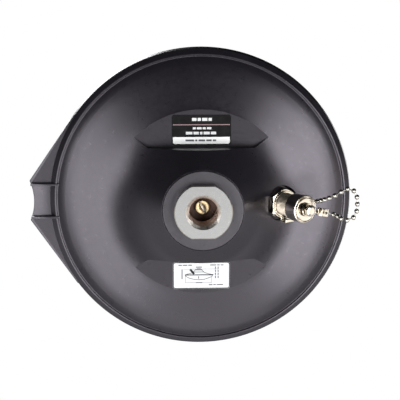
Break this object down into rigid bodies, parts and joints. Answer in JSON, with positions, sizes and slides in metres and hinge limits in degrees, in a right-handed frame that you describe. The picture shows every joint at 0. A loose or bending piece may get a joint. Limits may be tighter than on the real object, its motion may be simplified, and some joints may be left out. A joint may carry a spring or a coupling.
{
  "type": "gnss survey antenna",
  "caption": "Round survey antenna: domed radome on a dark moulded base with a pole thread, north tab and tilted coaxial connector under a chained dust cap.",
  "frame": {"origin": "antenna reference point: centre of the pole seat, on the lower face of the threaded insert", "axes": "+Z to the zenith, along the pole thread's axis; +X towards the antenna connector; -X towards the north tab"},
  "size_m": [0.1613, 0.152, 0.0622],
  "materials": {
    "radome_plastic": "fine satin moulded texture",
    "housing_plastic": "fine matte moulded texture",
    "seal_rubber": "matte",
    "insert_steel": "turned stainless steel",
    "brass": "turned",
    "black_label": "laminated label",
    "white_label": "laminated label",
    "plate_aluminium": "mill finish",
    "screw_steel": "zinc plated",
    "substrate": "ceramic-filled laminate",
    "copper": "bare copper foil",
    "nylon": "moulded nylon",
    "gold": "gold plated",
    "board_green": "solder mask",
    "tinplate": "tinned steel",
    "chip_black": "moulded epoxy",
    "cable_jacket": "extruded jacket",
    "ptfe": "turned PTFE",
    "nickel": "bright nickel plating",
    "nickel_chain": "bright nickel plating"
  },
  "bodies": {
    "antenna": {"radome": "radome_plastic", "rim_seal": "seal_rubber", "bottom_housing": "housing_plastic", "mount_insert": "insert_steel", "centre_screw": "brass", "centre_post": "plate_aluminium", "type_label": "black_label", "drawing_label": "white_label", "ground_plane": "plate_aluminium", "plate_screws": "screw_steel", "lower_substrate": "substrate", "lower_patch": "copper", "upper_substrate": "substrate", "upper_patch": "copper", "stack_screw": "nylon", "feed_pins": "gold", "amplifier_board": "board_green", "shield_can": "tinplate", "board_parts": "chip_black", "board_spacers": "nickel", "board_screws": "screw_steel", "coax_jumper": "cable_jacket", "jack_body": "nickel", "jack_insulator": "ptfe", "jack_contact": "gold", "jack_seal": "seal_rubber", "chain_lug": "nickel", "jack_nut": "nickel", "chain_balls": "nickel_chain", "chain_links": "nickel_chain"},
    "swivel": {"chain_eyelet": "nickel"},
    "cap": {"dust_cap": "nickel", "cap_gasket": "seal_rubber", "cap_rivet": "nickel"}
  },
  "joints": [
    {"name": "cap_travel", "type": "slide", "parent": "antenna", "child": "swivel", "axis": [0.5299, 0, -0.848], "range_m": [0, 0.00363], "deforming": ["chain_balls", "chain_links"]},
    {"name": "cap_turn", "type": "hinge", "parent": "swivel", "child": "cap", "pos_m": [0.0385, 0, 0.023], "axis": [0.5299, 0, -0.848], "range_deg": [0, 1440]}
  ],
  "couplings": [
    {"joint": "cap_travel", "follows": "cap_turn", "m_per_rad": 0.00014438}
  ]
}
